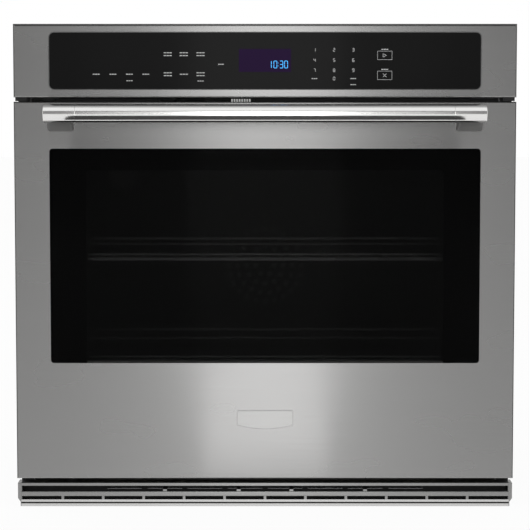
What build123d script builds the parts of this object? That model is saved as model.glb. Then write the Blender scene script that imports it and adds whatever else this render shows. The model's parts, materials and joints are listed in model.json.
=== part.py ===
"""Built-in single wall oven: recessed body, control panel, drop-down door, two sliding racks.

Frame: millimetres, +Z up, the front faces -Y, X runs along the width.
The origin is the middle of the underside, half-way between the handle and the rear junction box.
"""
from build123d import *
import os

# ---------------------------------------------------------------- driving dimensions
# Overall front
front_overhang = 22.0        # control panel and door beyond the casing on each side
front_height = 739.8         # underside of the vent trim to the top of the control panel
recess_depth = 588.0         # cabinet face to the rear of the junction box
handle_projection = 58.0     # door face to the front of the handle bar
door_depth = 35.0            # door face to door liner
cabinet_gap = 5.0            # door liner to cabinet face
overall_depth = recess_depth + cabinet_gap + door_depth + handle_projection

# Heights on the front
trim_height = 36.2
trim_gap = 8.7               # vent trim to door
door_height = 577.4
panel_gap = 6.7              # door to control panel

# Body in the cabinet
body_width = 718.0
body_top = 715.0
foot_height = 20.0
foot_radius = 16.0
foot_inset = 42.0
junction_depth = 25.0

# Sheet thicknesses
sheet = 1.0                  # casing
pan_sheet = 1.2              # base pan
liner_sheet = 1.0            # enamelled cavity
skin_sheet = 1.0             # stainless fronts
door_liner_sheet = 1.2

# Clearances
running_clearance = 0.05     # pins and shafts in their bores, radial
fit_gap = 0.5                # between pieces that drop into an opening
slide_clearance = 0.6        # rack on its supports
swing_clearance = 1.5        # hinge arm to the cheeks beside it

# Cavity
cavity_width = 616.0
cavity_height = 446.0
cavity_bottom = 108.0
cavity_depth = 497.0

# Mounting flange
flange_reach = 19.0          # beyond the body side
flange_hole_radius = 2.6
flange_hole_low = 150.0
flange_hole_spacing = 500.0

# Door window
window_width = 655.0
window_height = 328.0
window_bottom = 223.5
window_corner = 5.0
clear_width = 544.0          # see-through opening in the door liner
clear_height = 310.0
clear_bottom = 207.0
outer_glass_thickness = 4.0
middle_glass_thickness = 3.2
inner_glass_thickness = 4.0
glass_overlap = 8.0

# Hinge
pivot_setback = 10.0         # door face to pivot
pivot_rise = 7.1             # door underside to pivot
hinge_offset = 300.0         # centre of the oven to each hinge
arm_thickness = 6.0
arm_end_radius = 7.5
arm_height = 12.0
pin_radius = 3.0
cheek_sheet = 1.5
hinge_length = 132.0

# Handle
bar_radius = 14.0
bar_height = 605.5
handle_length = 663.0
handle_nose = 47.7           # length of each end piece
handle_end_round = 1.2
seam_chamfer = 0.4
post_width = 40.5
post_foot_bottom = 577.5
post_foot_top = 613.0
handle_screw_radius = 2.5

# Badge plate
badge_width = 85.0
badge_height = 22.0
badge_sag = 6.0
badge_bottom = 122.0
badge_thickness = 1.5

# Control panel
control_glass_width = 654.0
control_glass_height = 86.4
control_glass_bottom = 641.0
control_glass_corner = 8.0
control_glass_thickness = 3.2
control_glass_proud = 0.6
display_width = 80.0
display_height = 35.7
display_centre = 684.8
display_depth = 14.0
board_width = 460.0

# Racks
rack_side_gap = 2.5          # rack to the cavity wall
rack_depth = 430.0
rack_front_gap = 17.0        # door liner to the front of the rack
rack_level_low = 219.0       # centre of the frame wire
rack_level_pitch = 53.3
rack_levels_below = 1
rack_levels_total = 6
upper_rack_step = 3
frame_wire = 3.2
rung_wire = 1.7
rung_pitch = 46.7
rung_count = 13
brace_setback = 300.0
wire_bite = 0.4              # how far crossing wires are welded into each other
support_reach = 10.0
support_height = 10.0

# Convection
fan_height = 330.0
fan_radius = 76.0
fan_blades = 10
shaft_radius = 4.0
cover_width = 380.0
cover_height = 350.0
cover_depth = 40.0
cover_hole_radius = 4.5
ring_radius = 100.0
element_radius = 3.2

# Cooling blower
deck_height = 603.0
wheel_radius = 30.0
wheel_length = 300.0
wheel_blades = 18
blower_shaft_radius = 3.0
blower_axis_y = 180.0
blower_axis_z = 650.0
duct_width = 640.0

# Latch and door switch
latch_x = 20.0
latch_reach = 18.0           # hook tip beyond the front frame
latch_plate_thickness = 2.5
latch_pin_radius = 3.0
latch_setback = 30.0         # front frame to latch pin
switch_x = 150.0
plunger_radius = 2.5
plunger_travel = 4.0

# Rear connections
junction_width = 110.0
junction_height = 90.0
junction_x = -260.0
junction_bottom = 560.0
conduit_radius = 11.0
conduit_reach = 9.0

# ---------------------------------------------------------------- places worked out from them
back_y = overall_depth / 2
bar_front_y = -overall_depth / 2
front_y = bar_front_y + handle_projection
liner_back_y = front_y + door_depth
cabinet_y = liner_back_y + cabinet_gap
flange_front_y = cabinet_y - sheet
rear_panel_y = back_y - junction_depth

door_bottom = trim_height + trim_gap
door_top = door_bottom + door_height
panel_bottom = door_top + panel_gap
front_width = body_width + 2 * front_overhang
half_front = front_width / 2
half_body = body_width / 2
half_inside = half_body - sheet

cavity_top = cavity_bottom + cavity_height
half_cavity = cavity_width / 2
cavity_front_y = cabinet_y
cavity_back_y = cavity_front_y + cavity_depth

pivot_y = front_y + pivot_setback
pivot_z = door_bottom + pivot_rise
bar_y = bar_front_y + bar_radius
bar_seam = handle_length - 2 * handle_nose
rack_width = cavity_width - 2 * rack_side_gap

os.makedirs("parts", exist_ok=True)


# ---------------------------------------------------------------- small helpers
def block(x, y, z):
    """A box from (low, high) pairs."""
    size = [high - low for low, high in (x, y, z)]
    middle = [(high + low) / 2 for low, high in (x, y, z)]
    return Pos(*middle) * Box(*size)


def rod_x(radius, x, y, z):
    """A round bar along X, from x[0] to x[1]."""
    return Pos((x[0] + x[1]) / 2, y, z) * Rot(0, 90, 0) * Cylinder(radius, x[1] - x[0])


def rod_y(radius, x, y, z):
    """A round bar along Y, from y[0] to y[1]."""
    return Pos(x, (y[0] + y[1]) / 2, z) * Rot(90, 0, 0) * Cylinder(radius, y[1] - y[0])


def rod_z(radius, x, y, z):
    """A round bar along Z, from z[0] to z[1]."""
    return Pos(x, y, (z[0] + z[1]) / 2) * Cylinder(radius, z[1] - z[0])


def plate_y(width, height, corner, y, bottom, x=0.0):
    """An upright plate facing -Y with round corners, between y[0] and y[1]."""
    outline = RectangleRounded(width, height, corner)
    solid = extrude(outline, y[1] - y[0])
    return Pos(x, y[1], bottom + height / 2) * Rot(90, 0, 0) * solid


def both_sides(make):
    """A left and a right copy of what make(side) returns."""
    return [make(-1), make(1)]


def side_pair(side, inner, outer):
    """The (low, high) pair along X between two distances from the middle, on one side."""
    return (inner, outer) if side > 0 else (-outer, -inner)


def frame_y(outer_x, outer_z, inner_x, inner_z, y):
    """An upright rectangular ring between y[0] and y[1]."""
    return block(outer_x, y, outer_z) - block(inner_x, (y[0] - 1, y[1] + 1), inner_z)


def save(name, *solids):
    """Write one node."""
    shape = solids[0] if len(solids) == 1 else Compound(children=list(solids))
    export_step(shape, f"parts/{name}.step")


# ---------------------------------------------------------------- casing
base_pan_rim = 14.0
base_front_y = cabinet_y + 9.0
intake_slots = 9
intake_pitch = 60.0


def base_pan():
    """Floor sheet with an upturned rim and intake slots."""
    z = (foot_height, foot_height + pan_sheet)
    floor = block((-half_inside, half_inside), (base_front_y, rear_panel_y - sheet), z)
    rim_z = (z[1], z[1] + base_pan_rim)
    front = block((-half_inside, half_inside), (base_front_y, base_front_y + pan_sheet), rim_z)
    pan = floor + front
    for side in (-1, 1):
        pan += block(side_pair(side, half_inside - pan_sheet, half_inside),
                     (base_front_y, rear_panel_y - sheet), rim_z)
    for index in range(intake_slots):
        x = (index - (intake_slots - 1) / 2) * intake_pitch
        pan -= block((x - 20, x + 20), (base_front_y + 30, base_front_y + 38), (z[0] - 1, z[1] + 1))
    for side in (-1, 1):
        strut_x = side_pair(side, half_inside - 37, half_inside - 19)
        pan += block(strut_x, (flange_front_y - 1, base_front_y), (z[1] + 2, z[1] + 12))
    return pan


def oven_feet():
    """Four round feet under the base pan."""
    feet = []
    for x in (-half_body + foot_inset, half_body - foot_inset):
        for y in (base_front_y + foot_inset, rear_panel_y - foot_inset):
            foot = rod_z(foot_radius, x, y, (0, foot_height))
            feet.append(chamfer(foot.edges().group_by(Axis.Z)[0], 1.5))
    return feet


bead_heights = (200.0, 360.0, 520.0)
bead_width = 12.0
bead_setback = 60.0


def side_panel(side):
    """Upright casing side with stiffening beads and a bottom lip over the base pan."""
    x = side_pair(side, half_inside, half_body)
    panel = block(x, (flange_front_y, rear_panel_y - sheet), (foot_height, body_top - sheet))
    for z in bead_heights:
        groove = side_pair(side, half_body - sheet / 2, half_body + 1)
        panel -= block(groove, (cabinet_y + bead_setback, rear_panel_y - bead_setback), (z, z + bead_width))
    return panel


def back_panel():
    """Rear casing sheet with rows of louvre slots and the conduit opening."""
    y = (rear_panel_y - sheet, rear_panel_y)
    panel = block((-half_body, half_body), y, (foot_height, body_top - sheet))
    for row in range(4):
        for column in range(7):
            x = (column - 3) * 72.0
            z = 632.0 + row * 14.0
            panel -= block((x - 25, x + 25), (rear_panel_y - 2, rear_panel_y + 1), (z, z + 5))
    middle = junction_bottom + junction_height / 2
    panel -= rod_y(12, junction_x, (rear_panel_y - 2, rear_panel_y + 1), middle)
    return panel


def top_panel():
    """Casing lid with exhaust slots over the blower."""
    lid = block((-half_body, half_body), (cabinet_y, rear_panel_y), (body_top - sheet, body_top))
    for column in range(11):
        x = (column - 5) * 30.0
        y = blower_axis_y
        lid -= block((x - 5, x + 5), (y - 30, y + 30), (body_top - 2, body_top + 1))
    return lid


flange_bottom = 22.0
flange_top = 707.0
flange_leg = 20.0


def mounting_flange(side):
    """Angle strip: a leg welded to the casing side and a leaf that screws to the cabinet face."""
    leaf = block(side_pair(side, half_body, half_body + flange_reach),
                 (flange_front_y, cabinet_y), (flange_bottom, flange_top))
    leg = block(side_pair(side, half_body, half_body + sheet),
                (cabinet_y, cabinet_y + flange_leg), (flange_bottom, flange_top))
    strip = leaf + leg
    x = side * (half_body + flange_reach / 2)
    for z in (flange_hole_low, flange_hole_low + flange_hole_spacing):
        strip -= rod_y(flange_hole_radius, x, (flange_front_y - 1, cabinet_y + 1), z)
    return strip


frame_bottom = 72.0
frame_top = 620.0
half_frame = half_inside
latch_z = deck_height + sheet
latch_slot_x = (latch_x - 12.0, latch_x + 18.0)
latch_slot_z = (latch_z, latch_z + 8.0)


def front_frame():
    """Steel face around the cavity mouth, with slots for the latch hook and the switch plunger."""
    face = frame_y((-half_frame, half_frame), (frame_bottom, frame_top),
                   (-half_cavity, half_cavity), (cavity_bottom, cavity_top), (flange_front_y, cabinet_y))
    face -= block(latch_slot_x, (flange_front_y - 1, cabinet_y + 1), latch_slot_z)
    face -= rod_y(plunger_radius + fit_gap, switch_x, (flange_front_y - 1, cabinet_y + 1), switch_z)
    return face


switch_z = latch_z + 5.0

# ---------------------------------------------------------------- cavity
lamp_x = -248.0
lamp_z = 490.0
lamp_radius = 27.0
lamp_hole = 22.0
probe_x = 235.0
probe_z = 520.0
probe_radius = 2.5
terminal_x = 22.0
broil_z = cavity_top - 18.0
broil_outer = 210.0


def cavity_wrapper():
    """Enamelled sheet wrapped around the floor, walls and ceiling, with the hangers of the broil element."""
    half_outer = half_cavity + liner_sheet
    y = (cavity_front_y, cavity_back_y)
    wrapper = frame_y((-half_outer, half_outer), (cavity_bottom - liner_sheet, cavity_top + liner_sheet),
                      (-half_cavity, half_cavity), (cavity_bottom, cavity_top), y)
    wrapper -= rod_z(12, 150, 120, (cavity_top - 1, cavity_top + liner_sheet + 1))
    for x in (-broil_outer, broil_outer):
        for clip_y in (-90.0, 60.0):
            clip = block((x - 6, x + 6), (clip_y - 1, clip_y + 1), (broil_z - element_radius - 3, cavity_top))
            clip -= rod_y(element_radius + running_clearance, x, (clip_y - 3, clip_y + 3), broil_z)
            wrapper += clip
    return wrapper


def cavity_back():
    """Enamelled back with holes for the fan shaft, lamp, probe and element terminals."""
    y = (cavity_back_y, cavity_back_y + liner_sheet)
    through = (y[0] - 1, y[1] + 1)
    panel = block((-half_cavity - liner_sheet, half_cavity + liner_sheet), y,
                  (cavity_bottom - liner_sheet, cavity_top + liner_sheet))
    panel -= rod_y(shaft_radius + 4, 0, through, fan_height)
    panel -= rod_y(lamp_hole, lamp_x, through, lamp_z)
    panel -= rod_y(probe_radius + fit_gap, probe_x, through, probe_z)
    for x in (-terminal_x, terminal_x):
        panel -= rod_y(element_radius + fit_gap, x, through, broil_z)
        panel -= rod_y(element_radius + fit_gap, x, through, fan_height + ring_radius)
    return panel


rack_front_y = liner_back_y + rack_front_gap + frame_wire
rack_back_y = rack_front_y + rack_depth
half_rack = rack_width / 2 - frame_wire


def rack_supports(side):
    """Shelf supports on one cavity wall, one bar under each rack level."""
    bars = []
    x = side_pair(side, half_cavity - support_reach, half_cavity)
    for step in range(rack_levels_total):
        level = rack_level_low + (step - rack_levels_below) * rack_level_pitch
        top = level - frame_wire - slide_clearance
        bar = block(x, (rack_front_y + 4, rack_back_y + 3), (top - support_height, top))
        bars.append(fillet(bar.edges().filter_by(Axis.Z), 3.0))
    return bars


# ---------------------------------------------------------------- racks
def rack(level):
    """Wire shelf: a heavy frame, thin rungs over it, a cross brace and a raised front rail."""
    corner = 18.0
    outline = RectangleRounded(2 * (half_rack + frame_wire), rack_depth + 2 * frame_wire, corner)
    inner_width = 2 * (half_rack - frame_wire)
    inner = RectangleRounded(inner_width, rack_depth - 2 * frame_wire, corner - 2 * frame_wire)
    ring = extrude(outline - inner, 2 * frame_wire)
    ring = Pos(0, rack_front_y + rack_depth / 2, level - frame_wire) * ring
    shelf = fillet(ring.edges().group_by(Axis.Z)[0] + ring.edges().group_by(Axis.Z)[-1], frame_wire * 0.8)
    rung_z = level + frame_wire + rung_wire - wire_bite
    rung_y = (rack_front_y - rung_wire, rack_back_y)
    for index in range(rung_count):
        x = (index - (rung_count - 1) / 2) * rung_pitch
        shelf += rod_y(rung_wire, x, rung_y, rung_z)
    brace_z = rung_z - rung_wire - frame_wire + 2 * wire_bite
    shelf += rod_x(frame_wire * 0.8, (-half_rack, half_rack), rack_front_y + brace_setback, brace_z)
    rail_z = rung_z + 2 * rung_wire - wire_bite
    rail_reach = (rung_count - 1) / 2 * rung_pitch + 2 * rung_wire
    shelf += rod_x(rung_wire, (-rail_reach, rail_reach), rack_front_y, rail_z)
    return shelf


# ---------------------------------------------------------------- insulation
insulation_gap = 1.0
insulation_bottom = 42.0
insulation_top = deck_height
bake_space = 18.0
receiver_length = 90.0
receiver_wall = 2.0
receiver_front_y = cabinet_y + 3.0


def insulation_wrap():
    """Glass-fibre blanket around the cavity, open at the mouth, with pockets for the hinge receivers."""
    half_outer = half_inside - insulation_gap - sheet
    half_inner = half_cavity + liner_sheet
    y = (cabinet_y + insulation_gap, cavity_back_y + liner_sheet)
    wrap = block((-half_outer, half_outer), y, (insulation_bottom, insulation_top))
    wrap -= block((-half_inner, half_inner), (y[0] - 1, y[1] + 1),
                  (cavity_bottom - liner_sheet - bake_space, cavity_top + liner_sheet))
    for side in (-1, 1):
        pocket_x = side_pair(side, hinge_offset - 14, hinge_offset + 14)
        wrap -= block(pocket_x, (y[0] - 1, receiver_front_y + receiver_length + 4),
                      (insulation_bottom - 1, pivot_z + 22))
    return wrap


motor_radius = 38.0
motor_length = 40.0
motor_standoff = 8.0


def insulation_back():
    """Glass-fibre slab behind the cavity with pockets for the motor, lamp, probe and terminals."""
    half_outer = half_inside - insulation_gap - sheet
    y = (cavity_back_y + liner_sheet, rear_panel_y - sheet)
    through = (y[0] - 1, y[1] + 1)
    slab = block((-half_outer, half_outer), y, (insulation_bottom, insulation_top))
    slab -= rod_y(motor_radius + 4, 0, through, fan_height)
    slab -= rod_y(lamp_radius + 2, lamp_x, through, lamp_z)
    slab -= rod_y(probe_radius + 6, probe_x, through, probe_z)
    for z in (broil_z, fan_height + ring_radius):
        slab -= block((-terminal_x - 8, terminal_x + 8), through, (z - 8, z + 8))
    return slab


def heat_deck():
    """Sheet over the insulation that carries the electronics, latch and blower."""
    return block((-half_inside, half_inside), (cabinet_y, rear_panel_y - sheet),
                 (deck_height, deck_height + sheet))


# ---------------------------------------------------------------- heating elements
def tube_along(points, bend, radius):
    """A round tube along straight runs joined by bends."""
    path = FilletPolyline(*points, radius=bend)
    start = path.position_at(0)
    section = Plane(origin=start, z_dir=path.tangent_at(0)) * Circle(radius)
    return sweep(section, path=path)


broil_rows = (-broil_outer, -126.0, -42.0)
broil_span = (-150.0, 150.0)
broil_turn = 100.0


def broil_element():
    """Serpentine tube under the ceiling, with both terminals through the back."""
    back = cavity_back_y + 12
    rows = broil_rows
    front, rear = broil_span
    half = [(-terminal_x, back), (-terminal_x, rear), (rows[0], rear), (rows[0], front),
            (rows[1], front), (rows[1], broil_turn), (rows[2], broil_turn), (rows[2], front)]
    points = [(x, y, broil_z) for x, y in half]
    points += [(-x, y, broil_z) for x, y in reversed(half)]
    return tube_along(points, 16.0, element_radius)


bake_z = cavity_bottom - liner_sheet - element_radius


bake_rows = (-240.0, -150.0, -60.0)
bake_span = (-170.0, 160.0)
bake_turn = 120.0
bake_terminal = 190.0


def bake_element():
    """Tube below the cavity floor."""
    rows = bake_rows
    front, rear = bake_span
    half = [(-terminal_x, bake_terminal), (-terminal_x, rear), (rows[0], rear), (rows[0], front),
            (rows[1], front), (rows[1], bake_turn), (rows[2], bake_turn), (rows[2], front)]
    points = [(x, y, bake_z) for x, y in half]
    points += [(-x, y, bake_z) for x, y in reversed(half)]
    return tube_along(points, 16.0, element_radius)


# ---------------------------------------------------------------- convection
cover_front_y = cavity_back_y - cover_depth


def convection_cover():
    """Perforated cover over the fan."""
    x = (-cover_width / 2, cover_width / 2)
    z = (fan_height - cover_height / 2, fan_height + cover_height / 2)
    shell = block(x, (cover_front_y, cavity_back_y), z)
    inner_x = (x[0] + liner_sheet, x[1] - liner_sheet)
    inner_z = (z[0] + liner_sheet, z[1] - liner_sheet)
    shell -= block(inner_x, (cover_front_y + liner_sheet, cavity_back_y + 1), inner_z)
    through = (cover_front_y - 1, cover_front_y + liner_sheet + 1)
    for ring in range(1, 5):
        count = 6 * ring
        holes = PolarLocations(ring * 16.0, count)
        for spot in holes:
            place = spot.position
            shell -= rod_y(cover_hole_radius, place.X, through, fan_height + place.Y)
    for side in (-1, 1):
        for step in range(7):
            slot_z = fan_height + (step - 3) * 42.0
            slot_x = side_pair(side, cover_width / 2 - 5, cover_width / 2 + 1)
            shell -= block(slot_x, (cover_front_y + 8, cavity_back_y - 8), (slot_z - 14, slot_z + 14))
    return shell


def convection_fan():
    """Radial fan with its shaft."""
    disc_y = (cavity_back_y - 8, cavity_back_y - 7)
    blade_y = (cover_front_y + 10, disc_y[0])
    fan = rod_y(fan_radius, 0, disc_y, fan_height)
    fan += rod_y(12, 0, (blade_y[0], disc_y[1]), fan_height)
    blade = block((10, fan_radius - 1), blade_y, (-0.8, 0.8))
    for index in range(fan_blades):
        turn = Pos(0, 0, fan_height) * Rot(0, 360 / fan_blades * index, 0)
        fan += turn * blade
    fan += rod_y(shaft_radius, 0, (blade_y[0], cavity_back_y + motor_standoff + motor_length - 4), fan_height)
    return fan


def convection_motor():
    """Motor can on three standoffs behind the cavity."""
    front = cavity_back_y + liner_sheet + motor_standoff
    y = (front, front + motor_length)
    motor = rod_y(motor_radius, 0, y, fan_height)
    motor -= rod_y(shaft_radius + running_clearance, 0, (front - 1, y[1] - 2), fan_height)
    for spot in PolarLocations(motor_radius - 6, 3):
        place = spot.position
        motor += rod_y(3, place.X, (cavity_back_y + liner_sheet, front + 1), fan_height + place.Y)
    return motor


def convection_element():
    """Ring element around the fan with two terminals through the back."""
    y = cavity_back_y - 18
    ring = Pos(0, y, fan_height) * Rot(90, 0, 0) * Torus(ring_radius, element_radius)
    for x in (-terminal_x, terminal_x):
        height = fan_height + (ring_radius ** 2 - terminal_x ** 2) ** 0.5
        leg = rod_y(element_radius, x, (y, cavity_back_y + 12), fan_height + ring_radius)
        riser = rod_z(element_radius, x, y, (height, fan_height + ring_radius))
        ring += leg + riser + Pos(x, y, fan_height + ring_radius) * Sphere(element_radius)
    return ring


# ---------------------------------------------------------------- lamp and probe
def lamp_lens():
    """Glass dome over the lamp."""
    dome = rod_y(lamp_radius, lamp_x, (cavity_back_y - 14, cavity_back_y), lamp_z)
    dome = fillet(dome.edges().group_by(Axis.Y)[0], 10.0)
    return dome - rod_y(lamp_radius - 3, lamp_x, (cavity_back_y - 4, cavity_back_y + 1), lamp_z)


def lamp_socket():
    """Ceramic socket with a collar behind the cavity back."""
    back = cavity_back_y + liner_sheet
    collar = rod_y(lamp_radius, lamp_x, (back, back + 2), lamp_z)
    return collar + rod_y(18, lamp_x, (back, back + 45), lamp_z)


def temperature_probe():
    """Sensor rod with its fixing plate on the back."""
    back = cavity_back_y
    rod = rod_y(probe_radius, probe_x, (back - 95, back + 20), probe_z)
    tip = Pos(probe_x, back - 95, probe_z) * Sphere(probe_radius)
    plate = block((probe_x - 16, probe_x + 16), (back - 1.2, back), (probe_z - 7, probe_z + 7))
    return rod + tip + plate


# ---------------------------------------------------------------- cooling
half_wheel = wheel_length / 2
housing_gap = 3.0
housing_sheet = 1.2
duct_top = frame_top + 7.0
housing_front_y = blower_axis_y - wheel_radius - 12
housing_back_y = blower_axis_y + wheel_radius + 12
housing_top = blower_axis_z + wheel_radius + 12


def blower_housing():
    """Scroll box of the cross-flow blower: open to the lid above and to the duct in front."""
    half = half_wheel + housing_gap + housing_sheet
    z = (deck_height + sheet, housing_top)
    box = block((-half, half), (housing_front_y, housing_back_y), z)
    inner = half - housing_sheet
    box -= block((-inner, inner), (housing_front_y + housing_sheet, housing_back_y - housing_sheet),
                 (z[0] + housing_sheet, z[1] + 1))
    mouth_z = (z[0] + housing_sheet, duct_top - sheet)
    box -= block((-inner, inner), (housing_front_y - 1, housing_front_y + 2), mouth_z)
    bore = rod_x(blower_shaft_radius + running_clearance, (-half - 1, half + 1), blower_axis_y, blower_axis_z)
    return box - bore


def blower_wheel():
    """Drum of slim blades between two discs on a shaft."""
    disc = 1.5
    wheel = rod_x(wheel_radius, (-half_wheel, -half_wheel + disc), blower_axis_y, blower_axis_z)
    wheel += rod_x(wheel_radius, (half_wheel - disc, half_wheel), blower_axis_y, blower_axis_z)
    wheel += rod_x(wheel_radius, (-disc / 2, disc / 2), blower_axis_y, blower_axis_z)
    shaft_end = half_wheel + housing_gap + housing_sheet + 14
    wheel += rod_x(blower_shaft_radius, (-shaft_end + 8, shaft_end), blower_axis_y, blower_axis_z)
    blade = block((-half_wheel, half_wheel), (wheel_radius - 8, wheel_radius - 1), (-0.5, 0.5))
    for index in range(wheel_blades):
        turn = Pos(0, blower_axis_y, blower_axis_z) * Rot(360 / wheel_blades * index, 0, 0)
        wheel += turn * blade
    return wheel


def blower_motor():
    """Motor on the right-hand end of the blower."""
    start = half_wheel + housing_gap + housing_sheet
    motor = rod_x(26, (start, start + 42), blower_axis_y, blower_axis_z)
    bore = blower_shaft_radius + running_clearance
    motor -= rod_x(bore, (start - 1, start + 18), blower_axis_y, blower_axis_z)
    foot = block((start + 6, start + 36), (blower_axis_y - 18, blower_axis_y + 18),
                 (deck_height + sheet, blower_axis_z - 20))
    return motor + foot


outlet_y = (flange_front_y - 2.0, flange_front_y)
outlet_bottom = frame_top - 6.0
outlet_openings = ((-354.0, -322.0), (-163.0, -92.0), (-76.0, -16.0))
comb_x = (-52.5, -21.3)
comb_teeth = 8


def air_duct():
    """Flat channel that leads the cooling air to the gap above the door, with its slotted mouth strip."""
    half = duct_width / 2
    y = (cabinet_y, housing_front_y)
    z = (deck_height + sheet, duct_top)
    duct = block((-half, half), y, z)
    duct -= block((-half + sheet, half - sheet), (y[0] - 1, y[1] + 1), (z[0] - 1, duct_top - sheet))
    duct += block((-half_frame, half_frame), outlet_y, (outlet_bottom, duct_top))
    duct += block((-half, half), (outlet_y[0], y[0]), (frame_top, duct_top))
    for span in outlet_openings:
        duct -= block(span, (outlet_y[0] - 1, y[0] + 1), (frame_top, duct_top - sheet))
    return duct


def vent_comb():
    """Toothed air guide in the gap, left of the middle."""
    z = (frame_top + 0.8, duct_top - 0.8)
    comb = block(comb_x, (outlet_y[0] - 1.5, outlet_y[0]), (z[0] - 3.0, z[0]))
    pitch = (comb_x[1] - comb_x[0]) / comb_teeth
    for index in range(comb_teeth):
        x = comb_x[0] + (index + 0.5) * pitch
        comb += block((x - pitch * 0.3, x + pitch * 0.3), (outlet_y[0] - 1.5, outlet_y[0]), (z[0], z[1]))
    return comb


# ---------------------------------------------------------------- control panel
panel_back_y = flange_front_y
glass_back_y = front_y - control_glass_proud + control_glass_thickness


def control_bezel():
    """Stainless front of the control panel, folded back on all four edges."""
    x = (-half_front, half_front)
    z = (panel_bottom, front_height)
    bezel = block(x, (front_y, panel_back_y), z)
    bezel = fillet(bezel.edges().group_by(Axis.Y)[0], 2.0)
    hollow = block((x[0] + skin_sheet, x[1] - skin_sheet), (front_y + skin_sheet, panel_back_y + 1),
                   (z[0] + skin_sheet, z[1] - skin_sheet))
    bezel -= hollow
    opening = plate_y(control_glass_width + 2 * fit_gap, control_glass_height + 2 * fit_gap,
                      control_glass_corner + fit_gap, (front_y - 1, front_y + skin_sheet + 1),
                      control_glass_bottom - fit_gap)
    return bezel - opening


def control_glass():
    """Black glass with round corners and a ground edge."""
    glass = plate_y(control_glass_width, control_glass_height, control_glass_corner,
                    (front_y - control_glass_proud, glass_back_y), control_glass_bottom)
    return chamfer(glass.edges().group_by(Axis.Y)[0], 0.5)


bracket_wall = 2.0


def display_module():
    """Display block whose face fills the opening in the film."""
    bottom = display_centre - display_height / 2 + fit_gap
    return plate_y(display_width - 2 * fit_gap, display_height - 2 * fit_gap, 1.0,
                   (glass_back_y, glass_back_y + display_depth), bottom)


board_y = glass_back_y + display_depth


def control_board():
    """Circuit board behind the display with its tall components."""
    board = block((-board_width / 2, board_width / 2), (board_y, board_y + 1.6),
                  (control_glass_bottom + 4, control_glass_bottom + control_glass_height - 4))
    part_z = (display_centre - 12, display_centre + 6)
    for x in (-180.0, -120.0, 90.0, 150.0):
        board += block((x - 12, x + 12), (board_y + 1.6, board_y + 9), part_z)
    return board


def panel_bracket():
    """Moulded carrier that holds the glass, film and board in the bezel."""
    x = (-half_front + skin_sheet, half_front - skin_sheet)
    z = (panel_bottom + skin_sheet, front_height - skin_sheet)
    y = (front_y + skin_sheet, panel_back_y)
    carrier = block(x, y, z)
    pocket_x = (-control_glass_width / 2 - 1, control_glass_width / 2 + 1)
    pocket_z = (control_glass_bottom - 1, control_glass_bottom + control_glass_height + 1)
    carrier -= block(pocket_x, (y[0] - 1, board_y + 12), pocket_z)
    for side in (-1, 1):
        carrier -= block(side_pair(side, control_glass_width / 2 + 5, half_front - 5),
                         (y[0] + bracket_wall, y[1] + 1), (z[0] + 4, z[1] - 4))
    carrier += block((-board_width / 2 - 3, -board_width / 2), (board_y - 6, board_y + 12), pocket_z)
    carrier += block((board_width / 2, board_width / 2 + 3), (board_y - 6, board_y + 12), pocket_z)
    for x_low in (-control_glass_width / 2 - 1, control_glass_width / 2 - 5):
        carrier += block((x_low, x_low + 6), (glass_back_y, board_y + 12), pocket_z)
    return carrier


relay_inset = 20.0           # end of the duct to the board
relay_width = 200.0
relay_depth = 170.0
relay_setback = 95.0         # cabinet face to the board
relay_standoff = 8.0
relay_board_sheet = 1.6
relay_post_inset = 8.0
relay_pitch = 34.0


def relay_board():
    """Power board on standoffs above the duct, with its relays and transformer."""
    x = (-duct_width / 2 + relay_inset, -duct_width / 2 + relay_inset + relay_width)
    y = (cabinet_y + relay_setback, cabinet_y + relay_setback + relay_depth)
    under = duct_top + relay_standoff
    top = under + relay_board_sheet
    board = block(x, y, (under, top))
    for post_x in (x[0] + relay_post_inset, x[1] - relay_post_inset):
        for post_y in (y[0] + relay_post_inset, y[1] - relay_post_inset):
            board += rod_z(3, post_x, post_y, (duct_top, under + relay_board_sheet / 2))
    for index in range(5):
        relay_x = x[0] + 25 + index * relay_pitch
        board += block((relay_x, relay_x + 24), (y[0] + 20, y[0] + 50), (top, top + 18.4))
    board += block((x[0] + 20, x[0] + 70), (y[1] - 80, y[1] - 30), (top, top + 35.4))
    return board


# ---------------------------------------------------------------- latch and switch
latch_pin_y = cabinet_y + latch_setback


def latch_base():
    """Latch plate on the deck with the pin that the hook turns on."""
    base = block((latch_x - 30, latch_x + 30), (latch_pin_y - 10, latch_pin_y + 50), (latch_z, latch_z + 1.5))
    pin = rod_z(latch_pin_radius, latch_x, latch_pin_y, (latch_z + 1.5, latch_z + 8))
    return base + pin


hook_z = (latch_z + 2.0, latch_z + 2.0 + latch_plate_thickness)
hook_length = latch_setback + latch_reach
hook_half_width = 5.0
hook_nose = 7.0


def latch_hook():
    """Flat hook on the latch pin; its nose reaches through the slots in the frame and the door liner."""
    side_x = hook_half_width
    nose_x = hook_half_width + hook_nose
    outline = Polyline((-side_x, 0), (-side_x, -hook_length), (nose_x, -hook_length),
                       (nose_x, -hook_length + 4.5), (side_x, -hook_length + 6.5), (side_x, 0), (-side_x, 0))
    arm = Pos(latch_x, latch_pin_y, hook_z[0]) * extrude(make_face(outline), latch_plate_thickness)
    hub = rod_z(8, latch_x, latch_pin_y, hook_z)
    tail = block((latch_x - 4, latch_x + 4), (latch_pin_y, latch_pin_y + 20), hook_z)
    bore = rod_z(latch_pin_radius + running_clearance, latch_x, latch_pin_y, (hook_z[0] - 1, hook_z[1] + 1))
    return hub + arm + tail - bore


def latch_motor():
    """Small gear motor that drives the hook."""
    y = (latch_pin_y + 28, latch_pin_y + 50)
    return block((latch_x - 22, latch_x + 22), y, (latch_z + 1.5, latch_z + 20))


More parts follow.
